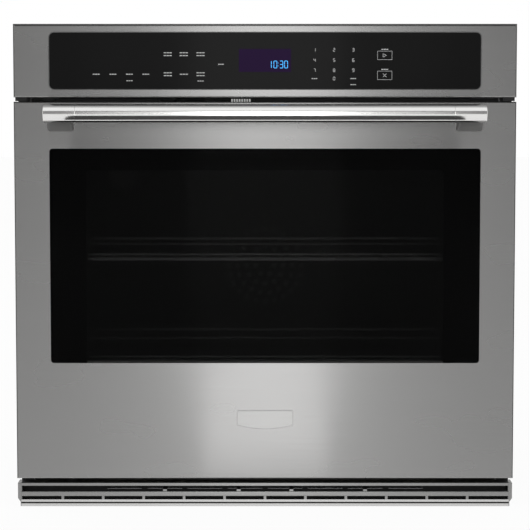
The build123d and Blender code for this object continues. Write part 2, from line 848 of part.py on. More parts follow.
def door_switch():
    """Switch body behind the frame."""
    z = (deck_height + sheet, switch_z + 9)
    body = block((switch_x - 10, switch_x + 10), (cabinet_y, cabinet_y + 24), z)
    bore = rod_y(plunger_radius + running_clearance, switch_x, (cabinet_y - 1, cabinet_y + 20), switch_z)
    return body - bore


def switch_plunger():
    """Round plunger that the door liner presses in."""
    tip = liner_back_y + 0.3
    pin = rod_y(plunger_radius, switch_x, (tip, cabinet_y + 14), switch_z)
    return fillet(pin.edges().group_by(Axis.Y)[0], 1.2)


# ---------------------------------------------------------------- seal
gasket_width = 10.0
gasket_inset = 6.0
gasket_clearance = 0.2


def door_gasket():
    """Woven seal around the cavity mouth."""
    half_inner = half_cavity + gasket_inset
    low = cavity_bottom - gasket_inset
    high = cavity_top + gasket_inset
    y = (liner_back_y + gasket_clearance, flange_front_y)
    outer = plate_y(2 * (half_inner + gasket_width), high - low + 2 * gasket_width, 26.0,
                    y, low - gasket_width)
    inner = plate_y(2 * half_inner, high - low, 16.0, (y[0] - 1, y[1] + 1), low)
    ring = outer - inner
    return fillet(ring.edges().group_by(Axis.Y)[0], 1.8)


# ---------------------------------------------------------------- hinges
arm_z = (pivot_z - arm_height / 2, pivot_z + arm_height / 2)
arm_rear_y = receiver_front_y + receiver_length - 8


def hinge_arm(side):
    """Flat arm hooked in its receiver; its round end carries the pin."""
    x = side_pair(side, hinge_offset - arm_thickness / 2, hinge_offset + arm_thickness / 2)
    arm = block(x, (pivot_y, arm_rear_y), arm_z) + rod_x(arm_end_radius, x, pivot_y, pivot_z)
    arm -= block((x[0] - 1, x[1] + 1), (arm_rear_y - 16, arm_rear_y - 10), (arm_z[0] - 1, arm_z[0] + 5))
    return arm - rod_x(pin_radius + running_clearance, (x[0] - 1, x[1] + 1), pivot_y, pivot_z)


def hinge_receiver(side):
    """Box channel in the body, with the roller that the arm hooks over."""
    inner_x = side_pair(side, hinge_offset - arm_thickness / 2 - 0.5, hinge_offset + arm_thickness / 2 + 0.5)
    outer_x = (inner_x[0] - receiver_wall, inner_x[1] + receiver_wall)
    y = (receiver_front_y, receiver_front_y + receiver_length)
    z = (arm_z[0] - receiver_wall, arm_z[1] + 2 + receiver_wall)
    tube = block(outer_x, y, z)
    tube -= block(inner_x, (y[0] - 1, y[1] + 1), (arm_z[0], arm_z[1] + 2))
    tube += rod_x(2.0, (inner_x[0] - 1, inner_x[1] + 1), arm_rear_y - 13, arm_z[0] + 2.4)
    foot = block(outer_x, (y[0] + 10, y[1]), (foot_height + pan_sheet, z[0]))
    return tube + foot


def hinge_channel(side):
    """Channel in the door: two cheeks beside the arm, a rear web above it and the riveted pivot pin."""
    near = hinge_offset - arm_thickness / 2 - swing_clearance
    far = hinge_offset + arm_thickness / 2 + swing_clearance
    y = (front_y + skin_sheet + 0.5, liner_back_y - door_liner_sheet)
    z = (door_bottom + skin_sheet, door_bottom + hinge_length)
    channel = block(side_pair(side, near - cheek_sheet, near), y, z)
    channel += block(side_pair(side, far, far + cheek_sheet), y, z)
    channel += block(side_pair(side, near - cheek_sheet, far + cheek_sheet),
                     (y[1] - cheek_sheet, y[1]), (pivot_z + 20, z[1]))
    pin_end = cheek_sheet + 1.5
    channel += rod_x(pin_radius, side_pair(side, near - pin_end, far + pin_end), pivot_y, pivot_z)
    return channel


# ---------------------------------------------------------------- door
arm_notch = arm_thickness / 2 + swing_clearance
notch_top = pivot_z + arm_end_radius + 6.5
top_lip = 8.0


def notch(side, y):
    """The cut that lets the hinge arm pass through the bottom of a door panel."""
    x = side_pair(side, hinge_offset - arm_notch, hinge_offset + arm_notch)
    return block(x, y, (door_bottom - 1, notch_top))


def door_skin():
    """Stainless front of the door, folded back at the sides, bottom and top lip, with the window opening."""
    x = (-half_front, half_front)
    pan = block(x, (front_y, liner_back_y), (door_bottom, door_top))
    pan = fillet(pan.edges().group_by(Axis.Y)[0], 2.0)
    pan -= block((x[0] + skin_sheet, x[1] - skin_sheet), (front_y + skin_sheet, liner_back_y + 1),
                 (door_bottom + skin_sheet, door_top - skin_sheet))
    pan -= block((x[0] + skin_sheet, x[1] - skin_sheet), (front_y + top_lip, liner_back_y + 1),
                 (door_top - skin_sheet - 1, door_top + 1))
    pan -= plate_y(window_width, window_height, window_corner,
                   (front_y - 1, front_y + skin_sheet + 1), window_bottom)
    for side in (-1, 1):
        pan -= notch(side, (front_y + skin_sheet + 0.3, liner_back_y + 1))
        for z in screw_heights:
            hole = handle_screw_radius + 0.3
            pan -= rod_y(hole, side * post_centre, (front_y - 1, front_y + skin_sheet + 1), z)
    for x_pin in (-badge_pin_x, badge_pin_x):
        pan -= rod_y(badge_pin_radius, x_pin, (front_y - 1, front_y + skin_sheet + 1), badge_pin_z)
    return pan


outer_glass_y = (front_y + skin_sheet, front_y + skin_sheet + outer_glass_thickness)


def door_outer_glass():
    """Front glass, held behind the skin."""
    return plate_y(window_width + 2 * glass_overlap, window_height + 2 * glass_overlap, 6.0,
                   outer_glass_y, window_bottom - glass_overlap)


sleeve_gap = 1.0
inner_glass_margin = 9.0
inner_glass_half = clear_width / 2 + inner_glass_margin
sleeve_flange = 16.0
sleeve_half = window_width / 2 + glass_overlap + sleeve_gap
inner_glass_z = (clear_bottom - inner_glass_margin, clear_bottom + clear_height + inner_glass_margin)
sleeve_z = (min(window_bottom - glass_overlap, inner_glass_z[0]) - sleeve_gap,
            window_bottom + window_height + glass_overlap + sleeve_gap)
liner_front_y = liner_back_y - door_liner_sheet


def door_frame():
    """Rectangular sleeve around the glass pack with flanges behind the skin and on the liner."""
    y = (front_y + skin_sheet, liner_front_y)
    outer_x = (-sleeve_half - sleeve_flange, sleeve_half + sleeve_flange)
    outer_z = (sleeve_z[0] - sleeve_flange, sleeve_z[1] + sleeve_flange)
    inner_x = (-sleeve_half, sleeve_half)
    ring = frame_y(outer_x, outer_z, inner_x, sleeve_z, y)
    web_x = (-sleeve_half - sheet, sleeve_half + sheet)
    web_z = (sleeve_z[0] - sheet, sleeve_z[1] + sheet)
    ring -= frame_y((outer_x[0] - 1, outer_x[1] + 1), (outer_z[0] - 1, outer_z[1] + 1), web_x, web_z,
                    (y[0] + sheet, y[1] - sheet))
    ring += frame_y(inner_x, sleeve_z, (-pack_half + spacer_width, pack_half - spacer_width),
                    (pack_z[0] + spacer_width, pack_z[1] - spacer_width),
                    (outer_glass_y[1], middle_glass_y[0]))
    return ring


spacer_width = 8.0
middle_glass_y = (outer_glass_y[1] + 11.0, outer_glass_y[1] + 11.0 + middle_glass_thickness)
inner_glass_y = (liner_front_y - inner_glass_thickness, liner_front_y)
pack_half = window_width / 2 - 2.0
pack_z = (window_bottom - 6.0, window_bottom + window_height - 2.0)


def door_middle_glass():
    """Middle pane."""
    return block((-pack_half, pack_half), middle_glass_y, pack_z)


def door_inner_glass():
    """Heat-facing pane behind the opening of the liner."""
    return block((-inner_glass_half, inner_glass_half), inner_glass_y, inner_glass_z)


clip_rise = 53.0             # opening's lower edge to the first clip
clip_pitch = 100.0
clip_half_height = 10.0
clip_reach = 14.0
clip_hold = 4.0
clip_sheet = 1.2


def glass_retainers():
    """Clips that hold the inner pane to the liner."""
    clips = []
    outer = inner_glass_half + clip_reach
    for side in (-1, 1):
        for index in range(3):
            middle = clear_bottom + clip_rise + index * clip_pitch
            z = (middle - clip_half_height, middle + clip_half_height)
            hold = block(side_pair(side, inner_glass_half - clip_hold, outer),
                         (inner_glass_y[0] - clip_sheet, inner_glass_y[0]), z)
            leg = block(side_pair(side, inner_glass_half, outer), (inner_glass_y[0], liner_front_y), z)
            clips.append(hold + leg)
    return clips


def door_liner():
    """Enamelled inner panel with the see-through opening, arm notches and latch slot."""
    x = (-half_front + skin_sheet, half_front - skin_sheet)
    z = (door_bottom + skin_sheet, door_top - skin_sheet - top_vent_height)
    panel = block(x, (liner_front_y, liner_back_y), z)
    panel -= plate_y(clear_width, clear_height, 8.0, (liner_front_y - 1, liner_back_y + 1), clear_bottom)
    for side in (-1, 1):
        panel -= notch(side, (liner_front_y - 1, liner_back_y + 1))
    slot_x = (latch_slot_x[0] - 2, latch_slot_x[1] + 2)
    panel -= block(slot_x, (liner_front_y - 1, liner_back_y + 1), (latch_slot_z[0] - 1, latch_slot_z[1] + 1))
    return panel


top_vent_height = 2.0
vent_slots = 22
vent_pitch = 32.0


def door_top_vent():
    """Slotted strip along the top edge of the door."""
    x = (-half_front + skin_sheet, half_front - skin_sheet)
    z = (door_top - skin_sheet - top_vent_height, door_top - skin_sheet)
    strip = block(x, (front_y + top_lip, liner_back_y), z)
    for index in range(vent_slots):
        middle = (index - (vent_slots - 1) / 2) * vent_pitch
        strip -= block((middle - 11, middle + 11), (front_y + top_lip + 5, front_y + top_lip + 11),
                       (door_top - 8, door_top + 1))
    return strip


def door_insulation():
    """Fibre slab in the lower part of the door."""
    half = hinge_offset - 16
    z = (door_bottom + 6, sleeve_z[0] - sleeve_flange - 2)
    return block((-half, half), (front_y + skin_sheet + 2, liner_front_y), z)


# ---------------------------------------------------------------- handle and badge
post_centre = (handle_length / 2) - 1.5 - post_width / 2
screw_heights = (post_foot_bottom + 9.0, post_foot_top - 9.0)
screw_depth = 12.0


def handle_bar():
    """Round tube between the end pieces."""
    half = bar_seam / 2
    tube = rod_x(bar_radius, (-half, half), bar_y, bar_height)
    tube = chamfer(tube.edges().filter_by(GeomType.CIRCLE), seam_chamfer)
    return tube - rod_x(bar_radius - 1.5, (-half - 1, half + 1), bar_y, bar_height)


def handle_end(side):
    """Cast end: a round nose in line with the tube, blending into a post that stands on the door."""
    nose = rod_x(bar_radius, side_pair(side, bar_seam / 2, handle_length / 2), bar_y, bar_height)
    outer_rim, seam_rim = (-1, 0) if side > 0 else (0, -1)
    nose = fillet(nose.edges().filter_by(GeomType.CIRCLE).sort_by(Axis.X)[outer_rim], handle_end_round)
    nose = chamfer(nose.edges().filter_by(GeomType.CIRCLE).sort_by(Axis.X)[seam_rim], seam_chamfer)
    x = side * post_centre
    foot_middle = (post_foot_bottom + post_foot_top) / 2
    foot = Plane(origin=(x, front_y, foot_middle), x_dir=(1, 0, 0), z_dir=(0, -1, 0))
    neck = Plane(origin=(x, bar_y, bar_height), x_dir=(1, 0, 0), z_dir=(0, -1, 0))
    foot_face = foot * RectangleRounded(post_width, post_foot_top - post_foot_bottom, 5.0)
    neck_face = neck * RectangleRounded(post_width - 4, 2 * bar_radius - 8, 5.0)
    post = loft([foot_face, neck_face], ruled=True)
    end = nose + post
    for z in screw_heights:
        end -= rod_y(handle_screw_radius, x, (front_y - screw_depth, front_y + 1), z)
    return end


def handle_screws():
    """Machine screws from inside the door into the posts."""
    screws = []
    for side in (-1, 1):
        for z in screw_heights:
            x = side * post_centre
            head = rod_y(2 * handle_screw_radius, x, (front_y + skin_sheet, front_y + skin_sheet + 3), z)
            shank = rod_y(handle_screw_radius, x, (front_y - screw_depth, front_y + skin_sheet), z)
            screws.append(head + shank)
    return screws


badge_pin_x = 30.0
badge_pin_radius = 1.2
badge_pin_z = badge_bottom + badge_sag + badge_height / 2


def badge_plate():
    """Blank plate with a bowed lower edge and two pins."""
    half = badge_width / 2
    low = badge_bottom + badge_sag
    high = low + badge_height
    with BuildPart() as plate:
        with BuildSketch(Plane(origin=(0, front_y, 0), x_dir=(1, 0, 0), z_dir=(0, -1, 0))):
            with BuildLine():
                Polyline((-half, low), (-half, high), (half, high), (half, low))
                ThreePointArc((half, low), (0, badge_bottom), (-half, low))
            make_face()
        extrude(amount=badge_thickness)
        fillet(plate.edges().filter_by(Axis.Y), 1.5)
        chamfer(plate.faces().sort_by(Axis.Y)[0].edges(), 0.4)
    solid = plate.part
    for x in (-badge_pin_x, badge_pin_x):
        solid += rod_y(badge_pin_radius, x, (front_y, front_y + skin_sheet + 0.8), badge_pin_z)
    return solid


# ---------------------------------------------------------------- vent trim
trim_recess = 8.0
trim_cap_width = 5.0
trim_cap_inset = 4.0         # foot of the cap inside its edge
trim_cap_slope = (7.0, 12.5)
trim_front_y = front_y + trim_recess
trim_rear_y = flange_front_y - 1.0
rib_count = 11
rib_pitch = 62.4
rib_width = 4.0
half_trim = half_front - trim_cap_width


def vent_trim():
    """Folded louvre: top lip, open slot, slat, row of short slots and a stepped foot."""
    x = (-half_trim, half_trim)
    y = (trim_front_y, trim_rear_y)
    top = block(x, y, (trim_height - 1.2, trim_height))
    lip = block(x, (y[0], y[0] + 1.2), (32.0, trim_height))
    foot = block(x, (y[0], y[1]), (0, 1.2))
    band = block(x, (y[0], y[0] + 4), (0, 4.4))
    groove = block(x, (y[0] + 2.5, y[0] + 4), (4.4, 6.8))
    ledge = block(x, (y[0] + 0.5, y[0] + 4), (6.8, 10.4))
    slat = block(x, (y[0], y[0] + 3), (15.6, 23.0))
    slat = fillet(slat.edges().filter_by(Axis.X).group_by(Axis.Y)[0], 1.2)
    back = block(x, (y[1] - 1.2, y[1]), (0, trim_height))
    for index in range(8):
        middle = (index - 3.5) * rib_pitch
        back -= block((middle - 27, middle + 27), (y[1] - 3, y[1] + 1), (22, 34))
    trim = top + lip + foot + band + groove + ledge + slat + back
    for index in range(rib_count):
        middle = (index - (rib_count - 1) / 2) * rib_pitch
        trim += block((middle - rib_width / 2, middle + rib_width / 2), (y[0] + 1.0, y[0] + 4), (10.4, 15.6))
    for middle in (-154.4, -40.8, 40.8, 154.4):
        trim += block((middle - 3, middle + 3), (y[0] + 2, y[1]), (23.0, 26.0))
    for side in (-1, 1):
        trim += block(side_pair(side, half_trim - 1.2, half_trim), (y[0] + 1.0, y[1]), (0, trim_height))
    return trim


def trim_cap(side):
    """End cap of the vent trim, cut back towards the bottom."""
    inner = half_trim
    outer = half_front
    foot = outer - trim_cap_inset
    with BuildPart() as cap:
        with BuildSketch(Plane(origin=(0, trim_front_y, 0), x_dir=(1, 0, 0), z_dir=(0, -1, 0))):
            with BuildLine():
                Polyline((inner, 0), (foot, 0), (foot, trim_cap_slope[0]), (outer, trim_cap_slope[1]),
                         (outer, trim_height), (inner, trim_height), (inner, 0))
            make_face()
        extrude(amount=-(trim_rear_y - trim_front_y))
        fillet(cap.faces().sort_by(Axis.Y)[0].edges(), 0.3)
    solid = cap.part
    return solid if side > 0 else mirror(solid, about=Plane.YZ)


# ---------------------------------------------------------------- rear connections
def junction_box():
    """Open-backed steel box for the supply wiring, with a flanged bushing for the conduit in its floor."""
    x = (junction_x - junction_width / 2, junction_x + junction_width / 2)
    z = (junction_bottom, junction_bottom + junction_height)
    wall = 1.2
    middle_y = rear_panel_y + junction_depth / 2
    box = block(x, (rear_panel_y, back_y), z)
    box -= block((x[0] + wall, x[1] - wall), (rear_panel_y - 1, back_y - wall), (z[0] + wall, z[1] - wall))
    box += rod_z(conduit_radius + 1.0, junction_x, middle_y, (z[0] - conduit_reach, z[0]))
    return box - rod_z(conduit_radius, junction_x, middle_y, (z[0] - conduit_reach - 1, z[0] + wall + 1))


casing_screw_heights = (90.0, 360.0, 640.0)
casing_screw_inset = 12.0
casing_head_radius = 4.0
casing_head_height = 2.0


def casing_screws():
    """Screws that hold the back panel to the side panels."""
    screws = []
    for side in (-1, 1):
        for z in casing_screw_heights:
            x = side * (half_body - casing_screw_inset)
            head = rod_y(casing_head_radius, x, (rear_panel_y, rear_panel_y + casing_head_height), z)
            screws.append(fillet(head.edges().group_by(Axis.Y)[-1], 0.8))
    return screws


# ---------------------------------------------------------------- write every node
rack_level_high = rack_level_low + upper_rack_step * rack_level_pitch

nodes = {
    "base_pan": [base_pan()],
    "oven_feet": oven_feet(),
    "side_panels": both_sides(side_panel),
    "back_panel": [back_panel()],
    "top_panel": [top_panel()],
    "mounting_flanges": both_sides(mounting_flange),
    "front_frame": [front_frame()],
    "casing_screws": casing_screws(),
    "cavity_wrapper": [cavity_wrapper()],
    "cavity_back": [cavity_back()],
    "rack_supports": rack_supports(-1) + rack_supports(1),
    "lower_rack": [rack(rack_level_low)],
    "upper_rack": [rack(rack_level_high)],
    "insulation_wrap": [insulation_wrap()],
    "insulation_back": [insulation_back()],
    "heat_deck": [heat_deck()],
    "broil_element": [broil_element()],
    "bake_element": [bake_element()],
    "convection_cover": [convection_cover()],
    "convection_fan": [convection_fan()],
    "convection_motor": [convection_motor()],
    "convection_element": [convection_element()],
    "lamp_lens": [lamp_lens()],
    "lamp_socket": [lamp_socket()],
    "temperature_probe": [temperature_probe()],
    "blower_housing": [blower_housing()],
    "blower_wheel": [blower_wheel()],
    "blower_motor": [blower_motor()],
    "air_duct": [air_duct()],
    "vent_comb": [vent_comb()],
    "control_bezel": [control_bezel()],
    "control_glass": [control_glass()],
    "display_module": [display_module()],
    "control_board": [control_board()],
    "panel_bracket": [panel_bracket()],
    "relay_board": [relay_board()],
    "latch_hook": [latch_hook()],
    "latch_motor": [latch_base() + latch_motor()],
    "door_switch": [door_switch()],
    "switch_plunger": [switch_plunger()],
    "door_gasket": [door_gasket()],
    "hinge_arms": both_sides(hinge_arm),
    "hinge_receivers": both_sides(hinge_receiver),
    "hinge_channels": both_sides(hinge_channel),
    "door_skin": [door_skin()],
    "door_outer_glass": [door_outer_glass()],
    "door_middle_glass": [door_middle_glass()],
    "door_inner_glass": [door_inner_glass()],
    "door_frame": [door_frame()],
    "glass_retainers": glass_retainers(),
    "door_liner": [door_liner()],
    "door_top_vent": [door_top_vent()],
    "door_insulation": [door_insulation()],
    "handle_bar": [handle_bar()],
    "handle_ends": both_sides(handle_end),
    "handle_screws": handle_screws(),
    "badge_plate": [badge_plate()],
    "vent_trim": [vent_trim()],
    "trim_caps": both_sides(trim_cap),
    "junction_box": [junction_box()],
}
for name, solids in nodes.items():
    save(name, *solids)
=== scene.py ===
"""Looks of the built-in wall oven: materials, printed and glazed details, studio and camera."""

import json
import math

import bmesh
import bpy
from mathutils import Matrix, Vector


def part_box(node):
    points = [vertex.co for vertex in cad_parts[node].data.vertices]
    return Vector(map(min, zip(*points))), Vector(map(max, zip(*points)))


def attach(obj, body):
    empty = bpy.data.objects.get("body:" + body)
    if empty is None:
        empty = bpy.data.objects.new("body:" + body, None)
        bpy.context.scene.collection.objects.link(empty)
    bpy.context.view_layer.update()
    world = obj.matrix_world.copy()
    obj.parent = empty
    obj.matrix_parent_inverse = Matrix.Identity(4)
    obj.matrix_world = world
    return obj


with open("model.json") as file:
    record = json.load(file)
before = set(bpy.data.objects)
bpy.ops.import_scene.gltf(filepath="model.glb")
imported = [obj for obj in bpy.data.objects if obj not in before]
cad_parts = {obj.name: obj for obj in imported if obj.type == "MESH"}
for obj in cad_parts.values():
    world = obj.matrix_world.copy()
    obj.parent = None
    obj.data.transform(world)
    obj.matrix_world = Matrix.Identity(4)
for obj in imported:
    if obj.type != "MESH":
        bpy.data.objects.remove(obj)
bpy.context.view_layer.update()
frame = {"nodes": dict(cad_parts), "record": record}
nodes = frame["nodes"]
MM = 0.001


# ---------------------------------------------------------------- node helpers
class Shader:
    """A material being built: its node tree, its Principled shader and short ways to add nodes."""

    def __init__(self, name, color=(0.5, 0.5, 0.5), metallic=0.0, roughness=0.5):
        self.material = bpy.data.materials.new(name)
        self.material.use_nodes = True
        self.tree = self.material.node_tree
        self.shader = self.tree.nodes["Principled BSDF"]
        self.set("Base Color", (*color, 1.0))
        self.set("Metallic", metallic)
        self.set("Roughness", roughness)

    def set(self, socket, value):
        self.shader.inputs[socket].default_value = value

    def node(self, kind, **values):
        made = self.tree.nodes.new(kind)
        for key, value in values.items():
            if key in made.inputs:
                made.inputs[key].default_value = value
            else:
                setattr(made, key, value)
        return made

    def link(self, source, target):
        self.tree.links.new(source, target)

    def place(self, scale):
        """Object coordinates in metres, stretched by scale per axis."""
        coordinates = self.node("ShaderNodeTexCoord")
        mapping = self.node("ShaderNodeMapping")
        mapping.inputs["Scale"].default_value = scale
        self.link(coordinates.outputs["Object"], mapping.inputs["Vector"])
        return mapping.outputs["Vector"]

    def noise(self, scale, detail=3.0, roughness=0.5):
        """Soft noise with scale cells per metre on each axis."""
        texture = self.node("ShaderNodeTexNoise", Scale=1.0, Detail=detail, Roughness=roughness)
        self.link(self.place(scale), texture.inputs["Vector"])
        return texture.outputs["Fac"]

    def cells(self, scale):
        """Outputs of a cell texture with scale cells per metre."""
        texture = self.node("ShaderNodeTexVoronoi", Scale=1.0)
        self.link(self.place((scale, scale, scale)), texture.inputs["Vector"])
        return texture.outputs

    def range(self, source, low, high, start=0.0, end=1.0):
        """source, between start and end, brought to low..high."""
        limits = {"From Min": start, "From Max": end, "To Min": low, "To Max": high}
        mapped = self.node("ShaderNodeMapRange", **limits)
        self.link(source, mapped.inputs["Value"])
        return mapped.outputs["Result"]

    def mix_color(self, factor, first, second):
        mixed = self.node("ShaderNodeMix", data_type="RGBA")
        mixed.inputs[6].default_value = (*first, 1.0)
        mixed.inputs[7].default_value = (*second, 1.0)
        self.link(factor, mixed.inputs["Factor"])
        return mixed.outputs[2]

    def color_by(self, factor, first, second):
        self.link(self.mix_color(factor, first, second), self.shader.inputs["Base Color"])

    def roughness_by(self, factor, low, high):
        self.link(self.range(factor, low, high), self.shader.inputs["Roughness"])

    def glow(self, color, strength):
        self.set("Emission Color", (*color, 1.0))
        self.set("Emission Strength", strength)

    def bump(self, height, strength, distance):
        bump = self.node("ShaderNodeBump", Strength=strength, Distance=distance)
        self.link(height, bump.inputs["Height"])
        self.link(bump.outputs["Normal"], self.shader.inputs["Normal"])


def grey(value):
    return (value, value, value)


def tinted(value, red=1.0, green=1.0, blue=1.0):
    return (value * red, value * green, value * blue)


# ---------------------------------------------------------------- materials
GRAIN_LENGTH = 9.0        # noise cells per metre along the grain
GRAIN_ACROSS = 1900.0     # noise cells per metre across it
QUARTER_TURN = 0.25       # anisotropic rotation, as a share of a whole turn


def brushed_steel(name, value, roughness, spread, streak=0.06):
    """Stainless sheet: fine lines along X, slow blotches and a highlight drawn out across the grain."""
    shader = Shader(name, tinted(value, 1.0, 0.995, 0.985), metallic=1.0, roughness=roughness)
    lines = shader.noise((GRAIN_LENGTH, GRAIN_ACROSS, GRAIN_ACROSS), detail=2.0)
    dark = tinted(value * (1.0 - streak), 1.0, 0.99, 0.975)
    light = tinted(value * (1.0 + streak), 1.0, 0.998, 0.99)
    shader.color_by(lines, dark, light)
    blotch = shader.noise((5.0, 14.0, 14.0), detail=2.0)
    shader.roughness_by(blotch, roughness * 0.92, roughness * 1.08)
    shader.set("Anisotropic", spread)
    shader.set("Anisotropic Rotation", QUARTER_TURN)
    along = shader.node("ShaderNodeCombineXYZ", X=1.0)
    turned = shader.node("ShaderNodeVectorTransform", vector_type="VECTOR",
                         convert_from="OBJECT", convert_to="WORLD")
    shader.link(along.outputs["Vector"], turned.inputs["Vector"])
    shader.link(turned.outputs["Vector"], shader.shader.inputs["Tangent"])
    return shader.material


def galvanised(name, value):
    """Zinc-coated sheet with a spangle of about 8 mm."""
    shader = Shader(name, grey(value), metallic=1.0, roughness=0.45)
    split = shader.node("ShaderNodeSeparateColor")
    shader.link(shader.cells(130.0)["Color"], split.inputs["Color"])
    dull = tinted(value * 0.94, 0.98, 0.99, 1.0)
    bright = tinted(value * 1.05, 0.99, 1.0, 1.01)
    shader.color_by(split.outputs["Red"], dull, bright)
    shader.roughness_by(split.outputs["Green"], 0.42, 0.52)
    shader.bump(shader.noise((300.0, 300.0, 300.0)), 0.05, 0.0001)
    return shader.material


def enamel(name, color, speck):
    """Glossy porcelain enamel with fine pale flecks and a slightly wavy surface."""
    shader = Shader(name, color, roughness=0.16)
    dots = shader.range(shader.cells(420.0)["Distance"], 1.0, 0.0, 0.05, 0.12)
    shader.color_by(dots, color, grey(speck))
    shader.bump(shader.noise((60.0, 60.0, 60.0), detail=1.0), 0.08, 0.0004)
    return shader.material


def moulded(name, color, roughness, grain=900.0, glow=0.0):
    """Moulded plastic or paint with a fine texture. A glow is painted light: the plastic glows with no lamp
    behind it.
    """
    shader = Shader(name, color, roughness=roughness)
    if glow:
        shader.glow(color, glow)
    fine = shader.noise((grain, grain, grain), detail=2.0)
    shader.roughness_by(fine, roughness * 0.85, min(roughness * 1.15, 1.0))
    shader.color_by(fine, tuple(c * 0.92 for c in color), tuple(min(c * 1.08, 1.0) for c in color))
    shader.bump(fine, 0.12, 0.0001)
    return shader.material


def bright_metal(name, value, roughness, tint=(1.0, 1.0, 1.0)):
    """Plated or turned metal with slight handling marks."""
    shader = Shader(name, tinted(value, *tint), metallic=1.0, roughness=roughness)
    marks = shader.noise((220.0, 220.0, 220.0), detail=5.0)
    shader.roughness_by(marks, roughness * 0.8, roughness * 1.3)
    shader.color_by(marks, tinted(value * 0.95, *tint), tinted(min(value * 1.04, 1.0), *tint))
    return shader.material


def oxidised(name):
    """Element sheath: dark, dry oxide with brown patches."""
    shader = Shader(name, grey(0.1), metallic=0.6, roughness=0.6)
    patches = shader.noise((45.0, 45.0, 45.0), detail=4.0)
    shader.color_by(patches, (0.05, 0.05, 0.055), (0.16, 0.13, 0.11))
    shader.roughness_by(patches, 0.5, 0.75)
    shader.bump(shader.noise((900.0, 900.0, 900.0)), 0.2, 0.0001)
    return shader.material


def fibre(name):
    """Glass-fibre blanket."""
    shader = Shader(name, (0.8, 0.74, 0.55), roughness=0.95)
    strands = shader.noise((160.0, 700.0, 160.0), detail=6.0, roughness=0.7)
    shader.color_by(strands, (0.62, 0.55, 0.36), (0.9, 0.86, 0.7))
    shader.bump(strands, 0.6, 0.002)
    return shader.material


def braid(name):
    """Woven seal."""
    shader = Shader(name, grey(0.12), roughness=0.9)
    weave = shader.cells(420.0)["Distance"]
    shader.color_by(weave, grey(0.2), grey(0.05))
    shader.bump(weave, 0.7, 0.0008)
    return shader.material


def circuit(name):
    """Solder mask with fine tracks."""
    shader = Shader(name, (0.02, 0.16, 0.07), roughness=0.35)
    tracks = shader.node("ShaderNodeTexBrick", Scale=1.0)
    tracks.inputs["Color1"].default_value = (0.02, 0.14, 0.06, 1.0)
    tracks.inputs["Color2"].default_value = (0.02, 0.18, 0.08, 1.0)
    tracks.inputs["Mortar"].default_value = (0.10, 0.32, 0.16, 1.0)
    shader.link(shader.place((160.0, 160.0, 160.0)), tracks.inputs["Vector"])
    shader.link(tracks.outputs["Color"], shader.shader.inputs["Base Color"])
    return shader.material


def pane(name, color, cover, gloss, roughness=0.02):
    """Glass pane: cover is how much of what lies behind it is hidden, gloss scales its reflection."""
    shader = Shader(name, color, roughness=roughness)
    shader.set("Alpha", cover)
    shader.set("Specular IOR Level", gloss)
    smear = shader.noise((14.0, 14.0, 22.0), detail=3.0)
    shader.roughness_by(smear, roughness, roughness + 0.02)
    return shader.material


def ink(name, color, glow=0.0):
    """Printed or lit mark."""
    shader = Shader(name, color, roughness=0.45)
    if glow:
        shader.glow(color, glow)
    mottle = shader.noise((2500.0, 2500.0, 2500.0), detail=1.0)
    shader.color_by(mottle, tuple(c * 0.9 for c in color), color)
    return shader.material


FRONT_STEEL = 0.31        # reflectance of each brushed sheet
HANDLE_STEEL = 0.80
BADGE_STEEL = 0.34
# painted highlight: the trim's foot in lighter steel
FOOT_SHEEN_STEEL = 0.60
# painted shade: the posts' steel under the bar is kept dark
SHADED_POST_STEEL = 0.30
# painted dark reflection: the same steel made nearly black for the rolled edges
EDGE_SHADE_STEEL = 0.045

slot_materials = {
    "galvanised_steel": galvanised("galvanised_steel", 0.55),
    "duct_steel": moulded("duct_steel", grey(0.05), 0.55, 300.0),
    "foot_plastic": moulded("foot_plastic", grey(0.03), 0.6),
    "enamel_black": enamel("enamel_black", (0.018, 0.018, 0.022), 0.35),
    "rack_chrome": bright_metal("rack_chrome", 0.92, 0.22),
    "insulation_fibre": fibre("insulation_fibre"),
    "element_steel": oxidised("element_steel"),
    "motor_metal": bright_metal("motor_metal", 0.4, 0.4),
    "fan_aluminium": bright_metal("fan_aluminium", 0.5, 0.4, (0.98, 0.99, 1.0)),
    "lens_glass": pane("lens_glass", (0.9, 0.9, 0.88), 0.35, 0.5, 0.05),
    "socket_ceramic": moulded("socket_ceramic", (0.8, 0.78, 0.72), 0.5, 500.0),
    # painted light: the pale comb glows with no lamp behind it
    "comb_plastic": moulded("comb_plastic", (0.9, 0.9, 0.88), 0.45, glow=0.35),
    "stainless_front": brushed_steel("stainless_front", FRONT_STEEL, 0.27, 0.90),
    "handle_steel": brushed_steel("handle_steel", HANDLE_STEEL, 0.13, 0.3, 0.02),
    "badge_metal": brushed_steel("badge_metal", BADGE_STEEL, 0.28, 0.6, 0.03),
    "control_black_glass": pane("control_black_glass", grey(0.009), 1.0, 0.05, 0.08),
    "display_face": pane("display_face", (0.014, 0.003, 0.030), 1.0, 0.04, 0.08),
    "circuit_board": circuit("circuit_board"),
    "carrier_plastic": moulded("carrier_plastic", grey(0.02), 0.55),
    "plunger_plastic": moulded("plunger_plastic", (0.85, 0.85, 0.82), 0.4),
    "gasket_fabric": braid("gasket_fabric"),
    "hinge_steel": bright_metal("hinge_steel", 0.45, 0.35, (1.0, 0.98, 0.94)),
    "screw_steel": bright_metal("screw_steel", 0.6, 0.28),
    "door_black_glass": pane("door_black_glass", grey(0.004), 0.54, 0.015),
    "inner_glass": pane("inner_glass", (0.012, 0.014, 0.013), 0.14, 0.01),
}


def dress_frame():
    """Gives every CAD node the material of its slot."""
    for part in frame["record"]["subparts"]:
        target = nodes[part["node"]]
        target.data.materials.clear()
        target.data.materials.append(slot_materials[part["material_slot"]])


def face_material(node, material, chosen):
    """Gives the faces of a CAD node that chosen(centre, normal) picks a second material."""
    item = nodes[node]
    item.data.materials.append(material)
    index = len(item.data.materials) - 1
    turn = item.matrix_world
    for face in item.data.polygons:
        if chosen(turn @ face.center, (turn.to_3x3() @ face.normal).normalized()):
            face.material_index = index


